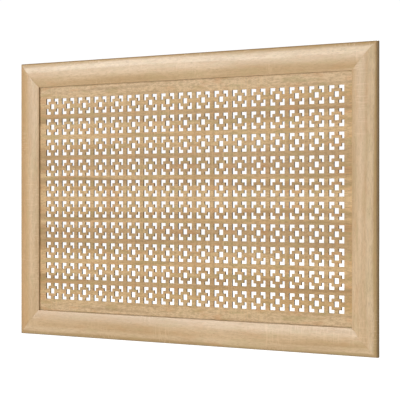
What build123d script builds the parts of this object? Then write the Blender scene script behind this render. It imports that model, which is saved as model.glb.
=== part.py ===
from build123d import *
from math import sqrt
import os

# Radiator screen: a mitred moulding frame round a thin perforated panel, hung on two hooks.
# Lengths are in millimetres. X runs to the right, seen from the front, Y back and Z up.
# The origin is the middle of the frame's bottom edge, in the panel's middle plane.

# Whole screen
screen_width = 900
screen_height = 600

# Frame moulding: flat back and outer side, low crown, rounded shoulder and inner lip
rail_width = 54
rail_thickness = 14.5
crown_offset = 29  # from the outer edge to the highest line of the crown
crown_radius = 80
shoulder_radius = 4
lip_radius = 1.2

# Perforated panel and the groove that holds its edges
panel_thickness = 3
panel_recess = 7.5  # from the top of the crown back to the panel's face
groove_depth = 9
groove_face_clearance = 0.1
groove_edge_clearance = 0.3

# Hole pattern: square cells, each with a square hole in its middle and a hole in every corner
cell_pitch = 45
cell_width = 34.8
corner_hole_leg = 12.8  # along both outer edges of a corner hole
centre_hole_width = 10.8
pattern_margin = 10  # least plain border between the cells' grid and the frame

# Beech dowel across each mitre
dowel_diameter = 6
dowel_length = 30
dowel_inset = 22  # from both outer edges to the dowel's middle
dowel_side_clearance = 0.05
dowel_end_clearance = 0.5

# V-shaped nails driven into the back of each mitre
nail_leg = 6
nail_strip = 0.8
nail_height = 7
outer_nail_inset = 8
inner_nail_inset = 34

# Hooks of bent steel strip that hang the screen on the radiator
hook_inset = 150  # from the frame's outer side to the hook's middle
hook_width = 20
hook_strip = 2
hook_bend_radius = 3  # on the inside of each bend
hook_plate_height = 46
hook_reach = 90  # clear depth between the plate and the downturned end
hook_end_length = 22
hook_drop = 10  # from the frame's top edge to the face that rests on the radiator

# Screws that hold the hooks
screw_diameter = 3.5
screw_length = 12
screw_tip_length = 3
screw_head_diameter = 7
screw_head_height = 2.2
screw_head_bevel = 0.9
screw_spacing = 18
screw_side_clearance = 0.05
pilot_end_clearance = 0.3
slot_length = 10
slot_clearance = 0.4

# Places worked out from the sizes above
panel_back = panel_thickness / 2
panel_front = -panel_back
crown_front = panel_front - panel_recess
frame_back = crown_front + rail_thickness
opening_width = screen_width - 2 * rail_width
opening_height = screen_height - 2 * rail_width
hook_plate_back = frame_back + hook_strip
hook_offset = screen_width / 2 - hook_inset
overshoot = 1  # how far cutting shapes run past what they cut

CORNERS = {
    "bottom_left": (-1, -1),
    "bottom_right": (1, -1),
    "top_left": (-1, 1),
    "top_right": (1, 1),
}
SIDES = {"left": -1, "right": 1}


def rail_section():
    """Section of the moulding: x runs in from the outer edge, y forward from the back."""
    blank = Pos(rail_width / 2, rail_thickness / 2) * Rectangle(rail_width, rail_thickness)
    crown = Pos(crown_offset, rail_thickness - crown_radius) * Circle(crown_radius)
    section = blank & crown
    outer_corner = section.vertices().group_by(Axis.X)[0].sort_by(Axis.Y)[-1]
    section = fillet(outer_corner, shoulder_radius)
    inner_corner = section.vertices().group_by(Axis.X)[-1].sort_by(Axis.Y)[-1]
    section = fillet(inner_corner, lip_radius)
    return section - groove_section()


def groove_section():
    """Groove in the inner edge, a little wider than the panel and deeper than its edge."""
    height = panel_thickness + 2 * groove_face_clearance
    depth = groove_depth + overshoot
    middle = rail_thickness - panel_recess - panel_thickness / 2
    return Pos(rail_width - groove_depth + depth / 2, middle) * Rectangle(depth, height)


def rail(length):
    """One rail lying along X with its outer edge down, mitred at both ends."""
    start = Plane(origin=(-length / 2, frame_back, 0), x_dir=(0, 0, 1), z_dir=(1, 0, 0))
    bar = extrude(start * rail_section(), length)
    outer_half = length / 2 + overshoot
    inner_half = length / 2 - rail_width - overshoot
    mitres = Polygon(
        (-outer_half, -overshoot),
        (outer_half, -overshoot),
        (inner_half, rail_width + overshoot),
        (-inner_half, rail_width + overshoot),
        align=None,
    )
    return bar & extrude(Plane.XZ * mitres, 2 * rail_thickness, both=True)


def mitre_place(corner, inset):
    """Point on a mitre, with local X along the joint line and local Z square to it."""
    x_side, z_side = CORNERS[corner]
    x = x_side * (screen_width / 2 - inset)
    z = screen_height / 2 + z_side * (screen_height / 2 - inset)
    return Pos(x, 0, z) * Rot(0, -45 * x_side * z_side, 0)


def dowel_place(corner):
    """Middle of the dowel, halfway between the frame's back and its crown."""
    return Pos(0, crown_front + rail_thickness / 2, 0) * mitre_place(corner, dowel_inset)


def dowel(corner):
    """Round peg, square to the mitre."""
    return dowel_place(corner) * Cylinder(dowel_diameter / 2, dowel_length)


def dowel_hole(corner):
    """Hole for the dowel in both rails of a corner."""
    radius = dowel_diameter / 2 + dowel_side_clearance
    return dowel_place(corner) * Cylinder(radius, dowel_length + 2 * dowel_end_clearance)


def nail(corner, inset):
    """V of steel strip across the mitre, driven in until it is flush with the back."""
    leg = nail_leg / sqrt(2)
    skin = nail_strip / sqrt(2)
    lower = [(leg, -leg), (leg + skin, skin - leg)]
    upper = [(leg + skin, leg - skin), (leg, leg)]
    outline = Pos(-leg / 2, 0) * Polygon((0, 0), *lower, (2 * skin, 0), *upper, align=None)
    strip = extrude(Plane.XZ * outline, nail_height)
    return Pos(0, frame_back, 0) * mitre_place(corner, inset) * strip


def corner_nails(corner):
    """The two nails of one corner, named by their place on the mitre."""
    return {
        f"{corner}_outer_nail": nail(corner, outer_nail_inset),
        f"{corner}_inner_nail": nail(corner, inner_nail_inset),
    }


def cell_holes():
    """Outlines of one cell's five holes, round the middle of the cell."""
    edge = cell_width / 2
    leg_end = edge - corner_hole_leg
    points = [(edge, edge), (leg_end, edge), (edge, leg_end)]
    corners = [Polygon(*((x * p, z * q) for p, q in points), align=None) for x, z in CORNERS.values()]
    return [Rectangle(centre_hole_width, centre_hole_width), *corners]


def perforated_panel():
    """Thin sheet whose edges stand in the frame's groove, with whole cells in its middle."""
    lap = groove_depth - groove_edge_clearance
    sheet = Rectangle(opening_width + 2 * lap, opening_height + 2 * lap)
    columns = int((opening_width - 2 * pattern_margin) // cell_pitch)
    rows = int((opening_height - 2 * pattern_margin) // cell_pitch)
    cells = GridLocations(cell_pitch, cell_pitch, columns, rows)
    holes = [(cell * hole).wire() for cell in cells for hole in cell_holes()]
    middle = (0, panel_back, screen_height / 2)
    upright = Plane(origin=middle, x_dir=(1, 0, 0), z_dir=(0, -1, 0))
    return extrude(upright * Face(sheet.wire(), holes), panel_thickness)


def screw_places(side):
    """Middles of one hook's two screws on the frame's back, the upper one first."""
    x = SIDES[side] * hook_offset
    middle = screen_height - hook_drop - hook_plate_height / 2
    return [Pos(x, hook_plate_back, middle + step * screw_spacing / 2) for step in (1, -1)]


def hook(side):
    """Strip bent twice: a plate on the frame, an arm over the radiator and a turned-down end."""
    near = frame_back + hook_strip / 2
    far = near + hook_reach + hook_strip
    arm = screen_height - hook_drop + hook_strip / 2
    path = FilletPolyline(
        (near, arm - hook_plate_height),
        (near, arm),
        (far, arm),
        (far, arm - hook_end_length),
        radius=hook_bend_radius + hook_strip / 2,
    )
    strip = extrude(Plane.YZ * trace(path, hook_strip), hook_width / 2, both=True)
    strip = Pos(SIDES[side] * hook_offset, 0, 0) * strip
    return strip - [screw_slot(place) for place in screw_places(side)]


def screw_slot(place):
    """Upright slot in the hook's plate that lets the screen be set level."""
    width = screw_diameter + 2 * slot_clearance
    outline = Rot(0, 0, 90) * SlotOverall(slot_length, width)
    return place * extrude(Plane.XZ * outline, 2 * hook_strip, both=True)


def screw(place):
    """Screw with a bevelled pan head, pointing forward from the hook's plate."""
    shank = screw_diameter / 2
    head = screw_head_diameter / 2
    outline = Polyline(
        (0, -screw_length),
        (shank, screw_tip_length - screw_length),
        (shank, 0),
        (head, 0),
        (head - screw_head_bevel, screw_head_height),
        (0, screw_head_height),
        close=True,
    )
    return place * revolve(make_face(outline), Axis.Y)


def pilot_hole(place):
    """Hole in the rail for a screw, a little longer than its point."""
    radius = screw_diameter / 2 + screw_side_clearance
    depth = screw_length - hook_strip + pilot_end_clearance
    hole = Rot(90, 0, 0) * Cylinder(radius, depth, align=(Align.CENTER, Align.CENTER, Align.MIN))
    return Pos(0, -hook_strip, 0) * place * hole


def frame():
    """The four rails, with the holes and slots for what is driven into them."""
    middle = screen_height / 2
    bottom = rail(screen_width)
    top = Pos(0, 0, screen_height) * Rot(0, 180, 0) * bottom
    stile = rail(screen_height)
    rails = {
        "top_rail": top,
        "bottom_rail": bottom,
        "left_stile": Pos(-screen_width / 2, 0, middle) * Rot(0, 90, 0) * stile,
        "right_stile": Pos(screen_width / 2, 0, middle) * Rot(0, -90, 0) * stile,
    }
    pilots = [pilot_hole(place) for side in SIDES for place in screw_places(side)]
    rails["top_rail"] -= pilots
    for corner in CORNERS:
        cuts = [dowel_hole(corner), *corner_nails(corner).values()]
        for name in corner_rails(corner):
            rails[name] -= cuts
    return rails


def corner_rails(corner):
    """Names of the two rails that meet at a corner."""
    level, side = corner.split("_")
    return f"{level}_rail", f"{side}_stile"


def fixings():
    """Dowels and nails of the corners, hooks and their screws."""
    pieces = {}
    for corner in CORNERS:
        pieces[f"{corner}_dowel"] = dowel(corner)
        pieces |= corner_nails(corner)
    for side in SIDES:
        upper, lower = screw_places(side)
        pieces[f"{side}_hook"] = hook(side)
        pieces[f"{side}_hook_upper_screw"] = screw(upper)
        pieces[f"{side}_hook_lower_screw"] = screw(lower)
    return pieces


def all_pieces():
    """Every piece of the screen by its name."""
    return {**frame(), "perforated_panel": perforated_panel(), **fixings()}


os.makedirs("parts", exist_ok=True)
for name, piece in all_pieces().items():
    export_step(piece, f"parts/{name}.step")
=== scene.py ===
# %% [markdown]
# # A radiator screen in pale oak decor
#
# The object is a flat screen that hangs in front of a radiator. Four lengths of
# foil-wrapped moulding are mitred round a thin perforated panel. This notebook dresses
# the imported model: the frame is loaded first and never moved, and each cell adds one
# piece or one finish to it.

import math

import bmesh
import bpy
import numpy as np
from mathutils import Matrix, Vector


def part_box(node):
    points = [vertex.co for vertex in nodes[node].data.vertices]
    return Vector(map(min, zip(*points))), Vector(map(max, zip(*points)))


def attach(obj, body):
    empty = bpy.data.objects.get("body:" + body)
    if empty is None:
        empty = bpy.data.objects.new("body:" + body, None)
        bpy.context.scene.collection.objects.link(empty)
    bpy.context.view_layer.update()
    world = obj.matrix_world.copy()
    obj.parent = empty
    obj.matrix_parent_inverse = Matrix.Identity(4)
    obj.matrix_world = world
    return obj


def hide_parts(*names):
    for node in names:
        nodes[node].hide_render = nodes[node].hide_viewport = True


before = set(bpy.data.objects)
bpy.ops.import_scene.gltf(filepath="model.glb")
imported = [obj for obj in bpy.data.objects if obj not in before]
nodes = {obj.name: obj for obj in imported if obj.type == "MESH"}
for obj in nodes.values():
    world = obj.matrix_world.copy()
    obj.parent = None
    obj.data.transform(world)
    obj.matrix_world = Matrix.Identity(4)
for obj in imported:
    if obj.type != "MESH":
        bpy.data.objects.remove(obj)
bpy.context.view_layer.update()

# %% [markdown]
# ## Sizes shared by the pieces
#
# Blender works in metres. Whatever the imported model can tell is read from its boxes, so
# the pieces made here sit exactly where the solids are. Only the small shapes that a
# box can't show, such as the crown's radius, are written out again.

# %% Read the main sizes from the model
MM = 0.001
rail_low, rail_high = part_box("bottom_rail")
panel_low, panel_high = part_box("perforated_panel")
screen_low, screen_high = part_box("left_stile")[0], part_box("right_stile")[1]
screen_width = screen_high.x - screen_low.x
screen_height = screen_high.z - screen_low.z
half_width, half_height = screen_width / 2, screen_height / 2
rail_width = rail_high.z - rail_low.z
frame_back = rail_high.y
frame_thickness = rail_high.y - rail_low.y
panel_front, panel_back = panel_low.y, panel_high.y
print("screen", round(screen_width, 4), "x", round(screen_height, 4))
print("rail", round(rail_width, 4), "x", round(frame_thickness, 4))

# %% [markdown]
# ## A helper that turns lists of points into a piece
#
# Every piece below ends the same way: vertices and faces go into a mesh with its
# finishes, the mesh gets smooth shading with sharp corners kept, the piece is tied to
# the body that carries it, and the node that it stands for is hidden.

# %% Make a piece from vertices and faces
SHARP_ANGLE = math.radians(28)


def make_piece(name, vertices, faces, node, finishes, face_finish=None):
    """A mesh piece that replaces one node; face_finish gives each face's finish number."""
    mesh = bpy.data.meshes.new(name)
    mesh.from_pydata(vertices, [], faces)
    for finish in finishes:
        mesh.materials.append(finish)
    if face_finish is not None:
        mesh.polygons.foreach_set("material_index", face_finish)
    shell = bmesh.new()
    shell.from_mesh(mesh)
    bmesh.ops.recalc_face_normals(shell, faces=shell.faces)
    shell.to_mesh(mesh)
    shell.free()
    mesh.polygons.foreach_set("use_smooth", [True] * len(mesh.polygons))
    mesh.set_sharp_from_angle(angle=SHARP_ANGLE)
    piece = bpy.data.objects.new(name, mesh)
    bpy.context.scene.collection.objects.link(piece)
    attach(piece, "root")
    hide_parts(node)
    print(name, "faces", len(mesh.polygons))


# %% [markdown]
# ## Shader sums written as Python
#
# A finish is a small calculation at every point of the surface. Building it from node
# boxes by hand is hard to read, so one class wraps a socket and lets it be added,
# multiplied or subtracted like a number. `1 - mask` adds the Math node that does it.

# %% Wrap a shader socket in arithmetic
class Signal:
    """A value, vector or colour that flows through a finish."""

    def __init__(self, finish, socket):
        self.finish = finish
        self.socket = socket

    def value(self, operation, first, second):
        return self.finish.add("ShaderNodeMath", {"operation": operation}, {0: first, 1: second})

    def __add__(self, other):
        return self.value("ADD", self, other)

    def __radd__(self, other):
        return self.value("ADD", other, self)

    def __sub__(self, other):
        return self.value("SUBTRACT", self, other)

    def __rsub__(self, other):
        return self.value("SUBTRACT", other, self)

    def __mul__(self, other):
        return self.value("MULTIPLY", self, other)

    def __rmul__(self, other):
        return self.value("MULTIPLY", other, self)

    def __abs__(self):
        return self.value("ABSOLUTE", self, 0.0)

    def between(self, low, high):
        """0 below low, 1 above high and a smooth step between them."""
        inputs = {"Value": self, "From Min": low, "From Max": high}
        return self.finish.add("ShaderNodeMapRange", {"interpolation_type": "SMOOTHSTEP"}, inputs)

    def blend(self, low, high):
        """The colour low where this is 0 and high where it is 1."""
        inputs = {"Factor": self, "A": low, "B": high}
        return self.finish.add("ShaderNodeMix", {"data_type": "RGBA"}, inputs, "Result")

    def parts(self):
        """The x, y and z of a vector."""
        split = self.finish.add("ShaderNodeSeparateXYZ", {}, {"Vector": self}).socket.node
        return [Signal(self.finish, split.outputs[axis]) for axis in "XYZ"]


# %% [markdown]
# ## One method for every other node
#
# `Finish.add` takes a node's type, its settings, which are set first because they
# change which sockets exist, and the values or signals for its sockets. It hands back
# the output as a Signal, so calls read like a recipe. Three short methods name the
# nodes that nearly every finish needs: the place on the object, a noise and a bump.

# %% Describe a finish
def linear(red, green, blue):
    """A colour given on a 0 to 255 screen scale, in the shader's linear scale."""
    parts = [value / 255 for value in (red, green, blue)]
    return [p / 12.92 if p <= 0.04045 else ((p + 0.055) / 1.055) ** 2.4 for p in parts] + [1.0]


class Finish:
    """The nodes of a material, or of a world, and the shader that they feed."""

    def __init__(self, name, world=False):
        self.holder = (bpy.data.worlds if world else bpy.data.materials).new(name)
        self.holder.use_nodes = True
        self.nodes = self.holder.node_tree.nodes
        self.links = self.holder.node_tree.links
        self.surface = self.nodes["Background" if world else "Principled BSDF"]

    def add(self, kind, settings, inputs, output=0):
        node = self.nodes.new(kind)
        for key, setting in settings.items():
            setattr(node, key, setting)
        for key, given in inputs.items():
            self.feed(self.socket(node.inputs, key), given)
        return Signal(self, self.socket(node.outputs, output))

    def socket(self, sockets, key):
        """A socket by its number, or the enabled one of this name."""
        if isinstance(key, int):
            return sockets[key]
        return next(s for s in sockets if s.name == key and s.enabled)

    def feed(self, socket, given):
        if isinstance(given, Signal):
            self.links.new(given.socket, socket)
        else:
            socket.default_value = given

    def set(self, **inputs):
        """Feeds the surface's sockets; names are written with _ for a space."""
        for key, given in inputs.items():
            self.feed(self.surface.inputs[key.replace("_", " ")], given)
        return self.holder

    def place(self):
        """The point of the object that is being coloured."""
        return self.add("ShaderNodeTexCoord", {}, {}, "Object")

    def noise(self, vector, scale, detail, roughness=0.5):
        """Soft random values from 0 to 1, with about `scale` blobs to a metre."""
        inputs = {"Vector": vector, "Scale": scale, "Detail": detail, "Roughness": roughness}
        return self.add("ShaderNodeTexNoise", {"noise_dimensions": "3D"}, inputs)

    def bump(self, strength, depth, height):
        """A normal tilted by a relief that is `depth` metres deep."""
        inputs = {"Strength": strength, "Distance": depth, "Height": height}
        return self.add("ShaderNodeBump", {}, inputs, "Normal")


# %% [markdown]
# ## Grain
#
# The real finish isn't wood: it is a foil printed with oak, pressed with a fine pore
# texture. Grain could be drawn by hand or taken from a picture. Here it all comes from
# one trick: noise whose space is stretched along the board, so that its blobs turn into
# fibres. A slow wander and a short ripple are added to the space first, so that no line
# runs dead straight. Every board gets its own place in the noise, or all would match.

# %% Grain space: length, width and depth of a board
BOARD_SHIFT = 3.7


def grain_space(finish, along, board):
    """Places along, across and below the grain; boards differ by a shift in depth."""
    x, y, z = finish.place().parts()
    length, width = (x, z) if along == "X" else (z, x)
    return length, width, y + board * BOARD_SHIFT


def stretched_noise(finish, space, stretch, scale, layer=0.0, detail=2.0, roughness=0.55):
    """Noise whose features are `stretch` times as long as they are wide; each layer differs."""
    length, width, depth = space
    inputs = {"X": length * (1 / stretch), "Y": width, "Z": depth + layer}
    vector = finish.add("ShaderNodeCombineXYZ", {}, inputs)
    return finish.noise(vector, scale, detail, roughness)


def bent(finish, space, wander, ripple):
    """The same space with the grain bent: a slow wander and a short ripple, in metres."""
    length, width, depth = space
    slow = stretched_noise(finish, space, stretch=4, scale=9, layer=5, detail=1)
    short = stretched_noise(finish, space, stretch=3, scale=45, layer=9, detail=1)
    return length, width + (slow - 0.5) * wander + (short - 0.5) * ripple, depth


# %% [markdown]
# ## The layers of the print
#
# Seen close, the print is several things on top of each other. Broad soft bands run for
# a long way, with streaks on them. Thin darker lines follow the grain, and short pores
# break the surface. Some places blush red or lean to a mossy green. Here and there pale
# saw cuts run square across the grain, so their space has length and width swapped.
# Each layer is a mask from 0 to 1. How much of it shows is decided later.

# %% Masks of the printed layers
def printed_layers(finish, space, line_stretch):
    """Masks of all that is printed or pressed on the foil, by name."""

    def grain(space=space, **settings):
        return stretched_noise(finish, space, **settings)

    length, width, depth = space
    lines = grain(stretch=line_stretch, scale=340, layer=2, detail=4, roughness=0.7)
    patches = grain(stretch=1.6, scale=14, layer=7, detail=1).between(0.5, 0.62)
    cuts = grain((width, length, depth), stretch=30, scale=330, layer=8, detail=1)
    return {
        "bands": grain(stretch=14, scale=36).between(0.32, 0.68),
        "streaks": grain(stretch=24, scale=120, layer=1).between(0.5, 0.7),
        "lines": lines.between(0.42, 0.62),
        "pores": grain(stretch=9, scale=1100, layer=3).between(0.58, 0.66),
        "blush": grain(stretch=4, scale=70, layer=4).between(0.5, 0.7),
        "moss": grain(stretch=4, scale=70, layer=6).between(0.5, 0.7),
        "saw_cuts": cuts.between(0.5, 0.7) * patches,
    }


# %% [markdown]
# ## Pale oak decor
#
# The boards of the frame and the sheet in the middle carry the same print in slightly
# different tones, so one function makes both. It lays one tone over another, each
# through its mask, like inks. A row is a straight stripe of tone that follows the board
# at a given distance, full in its core and fading to nothing at its half-width; on the
# frame some rows are painted shade and painted highlight. The foil is satin, the pores
# are a little duller, and both pores and lines are pressed in.

# %% Oak decor finish
ROW_CORE = 0.3  # share of a row's half-width that has its full strength
RIPPLE = 4 * MM
PRESS_DEPTH = 0.1 * MM


def row_mask(width, distance, reach):
    """1 on a line at this distance and 0 from its half-width on."""
    return 1 - abs(width - distance).between(ROW_CORE * reach, reach)


def oak_decor(
    name, along, board, tones, measure, rows,
    figure=0.6, roughness=0.29, wander=10 * MM, line_stretch=5,
):
    """Printed oak, with rows of tone that on the frame are partly painted shade and highlight;
    measure turns the place across a board into the distance of the rows.
    """
    light, dark, line, warm, olive = tones
    finish = Finish(name)
    length, width, depth = grain_space(finish, along, board)
    space = bent(finish, (length, measure(width), depth), wander, RIPPLE)
    layers = printed_layers(finish, space, line_stretch)
    # Rows come first; on the frame some of them are painted shade and painted highlight, and the
    # layers after them are print.
    inks = [
        (row_mask(space[1], distance, reach), strength, tone)
        for distance, reach, strength, tone in rows
    ]
    inks += [
        (layers["streaks"], 0.32 * figure, line),
        (layers["lines"], 0.4 * figure, line),
        (layers["blush"], 0.38 * figure, warm),
        (layers["moss"], 0.4 * figure, olive),
        (layers["pores"], 0.38, line),
        (layers["saw_cuts"], 0.5, light),
    ]
    colour = layers["bands"].blend(dark, light)
    for mask, strength, tone in inks:
        colour = (mask * strength).blend(colour, tone)
    relief = 0.6 * (1 - layers["pores"]) + 0.4 * (1 - layers["lines"])
    return finish.set(
        Base_Color=colour,
        Roughness=roughness + 0.1 * layers["pores"],
        Normal=finish.bump(0.25, PRESS_DEPTH, relief),
    )


# %% [markdown]
# ## Decor of the frame
#
# On the frame the rows are measured from the outer edge. On the top rail, the bottom
# rail and the right stile a browner row along that edge is painted shade on the rounded
# shoulder, and the paler stripe beside it is a painted highlight where the crown catches
# the lamps. The left stile has a more orange stripe there. Each rail was cut from
# another length of moulding, so each has its own board number; each also has its own
# rows, and all four share the same five tones.

# %% Decor of the four rails
def palette(*colours):
    """Colours, in this order: light, dark, line, warm and olive."""
    return [linear(*colour) for colour in colours]


frame_tones = palette(
    (236, 204, 163), (216, 182, 138), (176, 140, 98), (215, 166, 115), (201, 182, 131)
)
pale, orange, khaki = linear(255, 232, 196), linear(222, 168, 112), linear(212, 180, 122)

# Each row: distance from the outer edge and half-width in metres, strength and tone
rail_rows_with_painted_light = {
    "top_rail": (
        # Painted shade: a browner row darkens the rounded outer shoulder.
        (0.001, 0.012, 1.0, linear(204, 165, 106)),
        # Painted highlight: a paler row where the crown catches the lamps.
        (0.014, 0.009, 0.45, pale),
    ),
    "bottom_rail": (
        # Painted shade: a browner row darkens the rounded outer shoulder.
        (0.001, 0.008, 0.8, linear(194, 163, 118)),
        # Painted highlight: a paler row where the crown catches the lamps.
        (0.012, 0.008, 0.15, pale),
    ),
    "left_stile": (
        (0.001, 0.009, 0.5, khaki),
        (0.014, 0.020, 0.45, orange),
        (0.021, 0.010, 0.3, khaki),
    ),
    "right_stile": (
        # Painted shade: a browner row darkens the rounded outer shoulder.
        (0.001, 0.0065, 0.7, linear(194, 159, 102)),
        # Painted highlight: a paler row where the crown catches the lamps.
        (0.013, 0.009, 0.4, pale),
    ),
}
from_outer_edge = {
    "top_rail": lambda z: screen_height - z,
    "bottom_rail": lambda z: z,
    "left_stile": lambda x: x + half_width,
    "right_stile": lambda x: half_width - x,
}
rail_decor_and_painted_light = {}
for board, (rail_name, measure) in enumerate(from_outer_edge.items(), 1):
    rail_decor_and_painted_light[rail_name] = oak_decor(
        name=f"oak_decor_{rail_name}",
        along="X" if rail_name.endswith("rail") else "Z",
        board=board,
        tones=frame_tones,
        measure=measure,
        rows=rail_rows_with_painted_light[rail_name],
    )
print("rail decors", len(rail_decor_and_painted_light))

# %% [markdown]
# ## Decor of the sheet
#
# The sheet shows more figure than the frame and is duller. Its print is book-matched:
# the lower half mirrors the upper one. Measuring the width from the middle line as a
# plain distance, without a sign, is all that the mirror takes. Brown streaks run from
# end to end at a few heights, and the plain border above and below the holes is paler.

# %% Decor of the perforated sheet
panel_tones = palette(
    (232, 195, 142), (219, 179, 122), (148, 110, 64), (214, 154, 98), (170, 154, 92)
)
brown = panel_tones[2]

# Each row: distance from the middle line and half-width in metres, strength and tone
panel_rows = (
    (0.034, 0.010, 0.45, brown),
    (0.058, 0.014, 0.25, brown),
    (0.084, 0.036, 0.38, brown),
    (0.171, 0.008, 0.40, brown),
    (0.184, 0.018, 0.25, brown),
    (0.250, 0.040, 0.95, linear(228, 196, 152)),
)
panel_decor = oak_decor(
    name="oak_decor_panel",
    along="X",
    board=7,
    tones=panel_tones,
    measure=lambda z: abs(z - half_height),
    rows=panel_rows,
    figure=1.0,
    roughness=0.5,
    wander=30 * MM,
    line_stretch=3,
)
print("panel decor", panel_decor.name, "rows", len(panel_rows))

# %% [markdown]
# ## Raw board
#
# Foil stops at the front. The backs of the rails, the groove and the walls of the
# punched holes show the pressed fibre: a flat brown with fine dust-like specks. Two
# noises do it, a fine one for the fibres and a coarse one for their uneven colour.

# %% Raw fibreboard and hardboard
def raw_board(name, light, dark):
    """Pressed wood fibre: two browns mixed by fine and coarse noise, quite dull."""
    finish = Finish(name)
    place = finish.place()
    fine = finish.noise(place, scale=900.0, detail=3.0)
    coarse = finish.noise(place, scale=60.0, detail=2.0)
    mask = (0.65 * fine + 0.35 * coarse).between(0.35, 0.65)
    bump = finish.bump(0.3, PRESS_DEPTH, fine)
    return finish.set(Base_Color=mask.blend(dark, light), Roughness=0.85, Normal=bump)


fibreboard = raw_board("raw_fibreboard", linear(176, 148, 112), linear(150, 122, 88))
hardboard = raw_board("raw_hardboard", linear(146, 118, 86), linear(120, 94, 66))
print("raw boards", fibreboard.name, hardboard.name)

# %% [markdown]
# ## The moulding's section
#
# The section is flat at the back and outside, with a low crown in front. In a modelling
# window it would be a curve with bevelled corners. Here it is worked out instead: three
# arcs touch each other, a small one at the outer shoulder, a large one for the crown
# and a tiny one at the inner lip. Each small circle lies inside the crown's circle, so
# its middle follows from Pythagoras and the join is smooth.

# %% Work out the section of the moulding
crown_offset = 29 * MM
crown_radius = 80 * MM
shoulder_radius = 4 * MM
lip_radius = 1.2 * MM
back_radius = 0.4 * MM
groove_depth = 9 * MM
groove_gap = 0.1 * MM
CROWN_STEPS = 40
CORNER_STEPS = 10
BACK_STEPS = 3


def arc(centre, radius, start, end, steps):
    """Points on an arc; angles in degrees, 0 towards the inner edge and 90 forward."""
    angles = [math.radians(start + (end - start) * i / steps) for i in range(steps + 1)]
    return [(centre[0] + radius * math.cos(a), centre[1] + radius * math.sin(a)) for a in angles]


def inside_crown(offset, radius):
    """Middle of a circle that touches the crown from inside, and the angle where it does."""
    crown_middle = frame_thickness - crown_radius
    rise = math.sqrt((crown_radius - radius) ** 2 - (offset - crown_offset) ** 2)
    angle = math.degrees(math.atan2(rise, offset - crown_offset))
    return (offset, crown_middle + rise), angle


def moulding_section():
    """The outline, in from the outer edge and forward from the back, and its front's points."""
    shoulder, shoulder_end = inside_crown(shoulder_radius, shoulder_radius)
    lip, lip_start = inside_crown(rail_width - lip_radius, lip_radius)
    crown_middle = (crown_offset, frame_thickness - crown_radius)
    front = arc(shoulder, shoulder_radius, 180, shoulder_end, CORNER_STEPS)
    front += arc(crown_middle, crown_radius, shoulder_end, lip_start, CROWN_STEPS)[1:]
    front += arc(lip, lip_radius, lip_start, 0, CORNER_STEPS)[1:]
    groove_front = frame_back - panel_front + groove_gap
    groove_back = frame_back - panel_back - groove_gap
    floor = rail_width - groove_depth
    groove = [(rail_width, groove_front), (floor, groove_front), (floor, groove_back)]
    groove += [(rail_width, groove_back)]
    inner_back = arc((rail_width - back_radius, back_radius), back_radius, 0, -90, BACK_STEPS)
    outer_back = arc((back_radius, back_radius), back_radius, -90, -180, BACK_STEPS)
    return front + groove + inner_back + outer_back, len(front)


section, front_count = moulding_section()
print("section points", len(section), "lip height", round(section[front_count - 1][1], 5))

# %% [markdown]
# ## Rails and stiles
#
# A rail is the section pulled along a line and cut at 45 degrees. Because every point
# of the section knows how far in it lies, the cut needs no boolean: the end of each
# edge simply moves in by that same distance. A second ring, a hair inside the cut,
# eases the edge of the foil, which is what makes a real mitre show as a fine line.

# %% Rings of a rail, and faces between rings
MITRE_EASE = 0.25 * MM


def eased_section(points, depth):
    """The section drawn in by depth, for the very ends of a rail."""
    outer = min(u for u, v in points) + depth
    inner = max(u for u, v in points) - depth
    return [(min(max(u, outer), inner), v if v < depth else v - depth) for u, v in points]


def rail_rings(length):
    """Rings of points from one mitre to the other, as (along, in, forward)."""
    eased = eased_section(section, MITRE_EASE)
    half = length / 2
    rings = []
    for side, places in ((-1, (0, MITRE_EASE)), (1, (MITRE_EASE, 0))):
        for place in places:
            points = section if place else eased
            rings.append([(side * (half - place - u), u, v) for u, v in points])
    return rings


def stitched(ring_count, points):
    """Four-sided faces between neighbouring rings, each of so many points."""
    faces = []
    for ring in range(ring_count - 1):
        a, b = ring * points, (ring + 1) * points
        faces += [[a + k, a + (k + 1) % points, b + (k + 1) % points, b + k] for k in range(points)]
    return faces


print("rings", len(rail_rings(screen_width)), "of", len(section), "points")

# %% [markdown]
# One function lays all four lengths. It builds a rail as if it lay flat, and a short
# rule per rail turns the place along it and in from its edge into x and z. Faces on the
# front and on the outer side get the foil, and all others show the raw board.

# %% Build the four lengths of moulding
FOIL, RAW = 0, 1


def lay_rail(name, rings, place):
    """A rail from its rings; place turns (along, in) into x and z."""
    count = len(section)
    vertices = []
    for along, inward, forward in (point for ring in rings for point in ring):
        x, z = place(along, inward)
        vertices.append((x, frame_back - forward, z))
    last = (len(rings) - 1) * count
    faces = [list(range(count)), list(range(last, last + count))] + stitched(len(rings), count)
    wrapped = [i < front_count - 1 or i == count - 1 for i in range(count)]
    finish = [RAW, RAW] + [FOIL if foil else RAW for foil in wrapped] * (len(rings) - 1)
    finishes = [rail_decor_and_painted_light[name], fibreboard]
    make_piece(f"{name}_moulding", vertices, faces, name, finishes, finish)


rail_places = {
    "bottom_rail": lambda along, inward: (along, inward),
    "top_rail": lambda along, inward: (-along, screen_height - inward),
    "left_stile": lambda along, inward: (inward - half_width, half_height - along),
    "right_stile": lambda along, inward: (half_width - inward, half_height + along),
}
for rail_name, rail_place in rail_places.items():
    rail_length = screen_width if rail_name.endswith("rail") else screen_height
    lay_rail(rail_name, rail_rings(rail_length), rail_place)

# %% [markdown]
# ## The perforated panel
#
# Every edge of every hole is level or upright, so the sheet can be drawn on squared
# paper: one line at each hole edge, and each little box of the grid is either board or
# air. In every square cell there is a small square hole in the middle and an L-shaped
# hole in each corner. Cutting 850 holes with booleans would be slow and leave long thin
# faces, while the squared paper needs no cutting at all.

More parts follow.
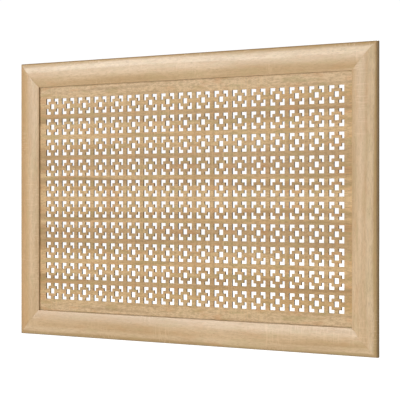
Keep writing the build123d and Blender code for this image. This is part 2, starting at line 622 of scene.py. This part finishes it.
# %% Draw the sheet on a grid
cell_pitch = 45 * MM
cell_width = 34.8 * MM
arm_length = 12.8 * MM
arm_width = 6.3 * MM
centre_hole = 10.8 * MM
columns, rows = 17, 10
cell_edge = cell_width / 2


def grid_lines(count, low, high):
    """Places of all hole edges along one direction, with the sheet's own edges."""
    marks = [cell_edge, cell_edge - arm_width, cell_edge - arm_length, centre_hole / 2]
    middles = [(i - (count - 1) / 2) * cell_pitch + (low + high) / 2 for i in range(count)]
    inner = [middle + sign * mark for middle in middles for mark in marks for sign in (-1, 1)]
    return np.array(sorted([low, high] + inner)), np.array(middles)


def is_air(dx, dz):
    """True where a point this far from its cell's middle lies in a hole."""
    near, far = np.minimum(abs(dx), abs(dz)), np.maximum(abs(dx), abs(dz))
    in_centre = far < centre_hole / 2
    in_corner = (far < cell_edge) & (near > cell_edge - arm_length)
    in_arm = far > cell_edge - arm_width
    return in_centre | (in_corner & in_arm)


def nearest_offset(points, middles):
    """Distance of each point from the nearest cell middle."""
    gaps = points[:, None] - middles[None, :]
    return gaps[np.arange(len(points)), abs(gaps).argmin(1)]


xs, x_middles = grid_lines(columns, panel_low.x, panel_high.x)
zs, z_middles = grid_lines(rows, panel_low.z, panel_high.z)
dx = nearest_offset((xs[1:] + xs[:-1]) / 2, x_middles)
dz = nearest_offset((zs[1:] + zs[:-1]) / 2, z_middles)
air = is_air(dx[:, None], dz[None, :])
print("grid", air.shape, "open share", round(float(air.mean()), 3))

# %% [markdown]
# Now every box of board becomes a front and a back face, with a wall wherever board
# meets air. A border of air is laid round the grid first, so the sheet's own edges get
# their walls by the same rule. Points that no face uses, inside the holes, are dropped.

# %% Turn the grid into a closed sheet
def panel_mesh():
    """Vertices, faces and finish numbers of the sheet with its holes."""
    wide, tall = len(xs), len(zs)
    front = np.arange(wide * tall).reshape(wide, tall)
    back = front + wide * tall
    vertices = [(x, y, z) for y in (panel_front, panel_back) for x in xs for z in zs]
    bordered = np.pad(air, 1, constant_values=True)
    faces, finish = [], []
    for i, j in zip(*np.nonzero(~air)):
        corners = [(i, j), (i + 1, j), (i + 1, j + 1), (i, j + 1)]
        faces.append([front[c] for c in corners])
        faces.append([back[c] for c in reversed(corners)])
        finish += [FOIL, RAW]
        neighbours = ((i + 1, j), (i + 2, j + 1), (i + 1, j + 2), (i, j + 1))
        for k, neighbour in enumerate(neighbours):
            if bordered[neighbour]:
                a, b = corners[k], corners[(k + 1) % 4]
                faces.append([front[a], back[a], back[b], front[b]])
                finish.append(RAW)
    used = sorted({v for face in faces for v in face})
    order = {v: n for n, v in enumerate(used)}
    faces = [[order[v] for v in face] for face in faces]
    return [vertices[v] for v in used], faces, finish


panel_vertices, panel_faces, panel_finish = panel_mesh()
make_piece(
    "perforated_sheet", panel_vertices, panel_faces, "perforated_panel",
    [panel_decor, hardboard], panel_finish,
)

# %% [markdown]
# ## Beech and zinc
#
# The dowels and hooks already have their true shape, so they keep their solids and only
# get a finish. Beech shows short dark flecks. Bright zinc is a pale metal, cloudy and
# not quite bare, so it is only partly metallic: a full metal would show little but the
# dark beside the lamps. Its brushed scratches are a faint bump.

# %% Finishes for the small parts
ZINC_SCRATCH = 0.03 * MM


def beech_finish():
    """Pale turned beech with short flecks."""
    finish = Finish("beech")
    space = grain_space(finish, "X", board=5)
    flecks = stretched_noise(finish, space, stretch=6, scale=900, layer=2).between(0.58, 0.7)
    tone = stretched_noise(finish, space, stretch=10, scale=120, layer=2)
    wood = tone.blend(linear(206, 170, 128), linear(224, 192, 152))
    colour = (flecks * 0.5).blend(wood, linear(160, 116, 78))
    return finish.set(Base_Color=colour, Roughness=0.6 + 0.1 * flecks)


def zinc_finish():
    """Bright zinc plating on mild steel."""
    finish = Finish("zinc_steel")
    cloud = finish.noise(finish.place(), scale=140.0, detail=4.0)
    space = grain_space(finish, "X", board=6)
    scratch = stretched_noise(finish, space, stretch=60, scale=2600, layer=2)
    return finish.set(
        Base_Color=cloud.between(0.35, 0.65).blend(linear(196, 199, 202), linear(222, 224, 226)),
        Metallic=0.6,
        Roughness=0.4 + 0.16 * cloud,
        Normal=finish.bump(0.15, ZINC_SCRATCH, scratch),
    )


beech, zinc = beech_finish(), zinc_finish()
for ending, finish in (("_dowel", beech), ("_hook", zinc)):
    solids = [node for name, node in nodes.items() if name.endswith(ending)]
    for solid in solids:
        solid.data.materials[0] = finish
    print(finish.name, "on", len(solids), "solids")

# %% [markdown]
# ## Screws with a cross recess and a thread
#
# A turned shape is a grid: rings along its axis, points round each ring. It could be a
# curve spun round the axis, but then every ring would be a circle. Here the radius isn't
# constant round a ring. On the shank it follows a spiral, which cuts the thread, and on
# the head the grid sinks inside a cross, which presses the recess.

# %% Work out a screw's rings and points
SCREW_SIDES = 48
DOME_RINGS, SHANK_RINGS, TIP_RINGS = 22, 60, 16
DOME_SPAN = (0.02, 0.9)  # shares of the head's radius
DOME_FALL = 0.5  # share of the head's height that a full parabola falls by
RIM_RINGS = ((0.97, 0.42), (1, 0.3), (1, 0))  # shares of the head's radius and height
TIP_SPAN = (0.95, 0.04)  # shares of the shank's radius
THREAD_STEEPNESS = 2.2  # a larger number makes the groove narrower
RECESS_RISE = 0.5  # share of the recess's depth that is lost at the end of an arm
hook_strip = 2 * MM
shank_radius = 1.75 * MM
tip_length = 3 * MM
thread_pitch = 1.3 * MM
thread_depth = 0.35 * MM
recess_arm = 1.9 * MM
recess_half = 0.45 * MM
recess_depth = 1.1 * MM
screw_seat = frame_back + hook_strip


def screw_profile(low, high):
    """(radius, y) rings from the middle of the head's top to the point."""
    head, height = (high.x - low.x) / 2, high.y - screw_seat
    tip_start = low.y + tip_length
    dome, tip = np.linspace(*DOME_SPAN, DOME_RINGS), np.linspace(*TIP_SPAN, TIP_RINGS)
    rings = [(head * t, high.y - height * DOME_FALL * t ** 2) for t in dome]
    rings += [(head * out, screw_seat + height * up) for out, up in RIM_RINGS]
    rings += [(shank_radius, y) for y in np.linspace(screw_seat, tip_start, SHANK_RINGS)]
    return rings + [(shank_radius * t, low.y + tip_length * t) for t in tip]


def screw_point(radius, y, k):
    """Point k of a ring, moved in by the thread or sunk by the recess."""
    turn = 2 * math.pi * k / SCREW_SIDES
    if y < screw_seat:
        wave = abs(((y - screw_seat) / thread_pitch + k / SCREW_SIDES) % 1 - 0.5) * 2
        groove = max(0, 1 - THREAD_STEEPNESS * (1 - wave))
        radius -= thread_depth * min(1, radius / shank_radius) * groove
    x, z = radius * math.cos(turn), radius * math.sin(turn)
    near, far = sorted((abs(x), abs(z)))
    if y > screw_seat and near < recess_half and far < recess_arm:
        y -= recess_depth * (1 - far / recess_arm * RECESS_RISE)
    return x, y, z


print("screw seat", round(screw_seat, 4))

# %% [markdown]
# Turning is then only a walk along the rings. Each screw reads its place and its size
# from its own solid, so the same few lines make all four.

# %% Turn the screws
def screw_mesh(node):
    """Vertices and faces of one screw, in the place of its solid."""
    low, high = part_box(node)
    centre = (low + high) / 2
    profile = screw_profile(low, high)
    points = [screw_point(radius, y, k) for radius, y in profile for k in range(SCREW_SIDES)]
    vertices = [(centre.x + x, y, centre.z + z) for x, y, z in points]
    last = (len(profile) - 1) * SCREW_SIDES
    top, tip = (list(range(start, start + SCREW_SIDES)) for start in (0, last))
    return vertices, [top, *stitched(len(profile), SCREW_SIDES), tip]


for name in sorted(nodes):
    if name.endswith("_screw"):
        screw_vertices, screw_faces = screw_mesh(name)
        make_piece(f"{name}_turned", screw_vertices, screw_faces, name, [zinc])

# %% [markdown]
# ## V-shaped nails
#
# Frame makers drive these across the back of a mitre with a small press. Each is a
# strip bent to a right angle, sharpened where it goes in. The press leaves the blunt end
# a hair proud of the board, so two fine steel lines show at every corner. Four outlines
# of the V, from the blunt end in, make the bevel, the strip and the cutting edge.

# %% Bend the nails
nail_leg = 6 * MM / math.sqrt(2)
nail_strip = 0.8 * MM
nail_edge = 0.2 * MM
NAIL_TAPER = 1.5 * MM
NAIL_PROUD = 0.12 * MM
NAIL_BEVEL = 0.12 * MM
corner_turns = {"bottom_left": 45, "bottom_right": -45, "top_left": -45, "top_right": 45}


def v_outline(strip):
    """Six points of the V, its apex near 0; a thinner strip keeps the same middle line."""
    skin, full = strip / math.sqrt(2), nail_strip / math.sqrt(2)
    points = [(0, 0), (nail_leg, -nail_leg), (nail_leg + skin, skin - nail_leg)]
    points += [(2 * skin, 0), (nail_leg + skin, nail_leg - skin), (nail_leg, nail_leg)]
    return [(u + full - skin, v) for u, v in points]


def nail_mesh(node, turn):
    """A bevelled, sharpened V in the place of its solid; turn is the joint line's angle."""
    low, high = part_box(node)
    centre = (low + high) / 2
    rings = [
        (high.y + NAIL_PROUD, nail_strip - 2 * NAIL_BEVEL),
        (high.y + NAIL_PROUD - NAIL_BEVEL, nail_strip),
        (low.y + NAIL_TAPER, nail_strip),
        (low.y, nail_edge),
    ]
    along, square = math.cos(math.radians(turn)), math.sin(math.radians(turn))
    middle = (nail_leg + nail_strip / math.sqrt(2)) / 2
    vertices = []
    for y, strip in rings:
        for u, v in v_outline(strip):
            x, z = (u - middle) * along - v * square, (u - middle) * square + v * along
            vertices.append((centre.x + x, y, centre.z + z))
    count = len(v_outline(nail_strip))
    last = (len(rings) - 1) * count
    arms = ((0, 1, 2, 3), (0, 3, 4, 5))
    ends = [[start + k for k in arm] for start in (0, last) for arm in arms]
    return vertices, ends + stitched(len(rings), count)


for name in sorted(nodes):
    if name.endswith("_nail"):
        corner = name.rsplit("_", 2)[0]
        nail_vertices, nail_faces = nail_mesh(name, corner_turns[corner])
        make_piece(f"{name}_driven", nail_vertices, nail_faces, name, [zinc])

# %% [markdown]
# ## White floor and surroundings
#
# The picture is a plain studio shot on white. The screen hangs, so the floor lies a
# little below its bottom edge. The floor glows just enough to come out white, and its
# paint is grey, so that the lamps don't make it brighter than the wall: seen through
# the holes, both have to look alike. The world shows white to the camera but lights the
# screen much less, as a white wall far behind it would.

# %% Make the floor and the world
FLOOR_DROP = 0.12
FLOOR_HALF = 30.0
FLOOR_GLOW = 1.02
WORLD_SEEN = 1.03
WORLD_LIGHT = 0.05


def white_floor():
    """A wide pale floor below the hanging screen."""
    mesh = bpy.data.meshes.new("studio_floor")
    sides = [(-1, -1), (1, -1), (1, 1), (-1, 1)]
    corners = [(x * FLOOR_HALF, y * FLOOR_HALF, -FLOOR_DROP) for x, y in sides]
    mesh.from_pydata(corners, [], [[0, 1, 2, 3]])
    mesh.materials.append(
        Finish("studio_white").set(
            Base_Color=linear(64, 64, 64),
            Roughness=0.9,
            Emission_Color=linear(255, 255, 255),
            Emission_Strength=FLOOR_GLOW,
        )
    )
    floor = bpy.data.objects.new("studio_floor", mesh)
    bpy.context.scene.collection.objects.link(floor)
    floor.visible_diffuse = False
    floor.visible_glossy = False
    floor.visible_shadow = False


def white_world():
    """A world that is white to the camera and lights the scene only faintly."""
    finish = Finish("studio_world", world=True)
    is_camera_ray = finish.add("ShaderNodeLightPath", {}, {}, "Is Camera Ray")
    level = WORLD_LIGHT + is_camera_ray * (WORLD_SEEN - WORLD_LIGHT)
    bpy.context.scene.world = finish.set(Color=(1, 1, 1, 1), Strength=level)


white_floor()
white_world()
print("floor", 2 * FLOOR_HALF, "m wide,", FLOOR_DROP, "m below the screen")

# %% [markdown]
# ## Soft light
#
# Large square lamps far away give soft, even shading. Three stand in front to the left,
# one high and two lower, and shade the crown of the moulding. A fill from low on the
# right keeps the undersides from going dark. Two more stand behind: a strong one
# lights the back of the screen, and a weak one lifts its right outer side.

# %% Soft studio lights
LIGHT_DISTANCE = 9
SOFTBOX_SIZE = 3.2

# Azimuth and elevation in degrees, 0 straight in front and level, and power in watts
softboxes = {
    "key_softbox": (-42, 28, 225),
    "front_softbox": (-25, 12, 162),
    "side_softbox": (-42, 12, 107),
    "low_fill": (30, -28, 388),
    "back_fill": (-165, 25, 800),
    "right_fill": (128, 5, 62),
}


def soft_light(name, azimuth, elevation, power):
    """A square soft light aimed at the middle of the screen."""
    data = bpy.data.lights.new(name, "AREA")
    data.shape = "RECTANGLE"
    data.size = data.size_y = SOFTBOX_SIZE
    data.energy = power
    lamp = bpy.data.objects.new(name, data)
    a, e = math.radians(azimuth), math.radians(elevation)
    middle = np.array([0, 0, half_height])
    way = np.array([math.sin(a) * math.cos(e), -math.cos(a) * math.cos(e), math.sin(e)])
    lamp.location = middle + LIGHT_DISTANCE * way
    lamp.rotation_euler = (math.radians(90) - e, 0, a)
    lamp.visible_camera = False
    bpy.context.scene.collection.objects.link(lamp)


for lamp_name, aim_and_power in softboxes.items():
    soft_light(lamp_name, *aim_and_power)
print("lamps", len(softboxes), "power", sum(power for _, _, power in softboxes.values()), "W")

# %% [markdown]
# ## Camera
#
# The camera stands level with the middle of the screen, to its right, and looks level,
# so upright edges stay upright. A long lens keeps the far end nearly as tall as the near
# one. The small shift moves the picture down without tilting the camera. The standard
# view keeps colours as they were given, where a filmic one would grey the white.

# %% Place the camera
CAMERA_RIGHT = 1.8321
CAMERA_AWAY = 2.5279
CAMERA_HEIGHT = 0.30597
CAMERA_TURN = math.radians(35.36)
camera_data = bpy.data.cameras.new("camera")
camera_data.sensor_width = 36
camera_data.lens = 136.3
camera_data.shift_y = -0.0098
camera_data.clip_end = 200
camera = bpy.data.objects.new("camera", camera_data)
camera.location = (CAMERA_RIGHT, panel_front - CAMERA_AWAY, CAMERA_HEIGHT)
camera.rotation_euler = (math.radians(90), 0, CAMERA_TURN)
bpy.context.scene.collection.objects.link(camera)
bpy.context.scene.camera = camera
bpy.context.scene.view_settings.view_transform = "Standard"
bpy.context.scene.view_settings.look = "None"
print("camera", round(math.hypot(CAMERA_RIGHT, CAMERA_AWAY), 2), "m away")
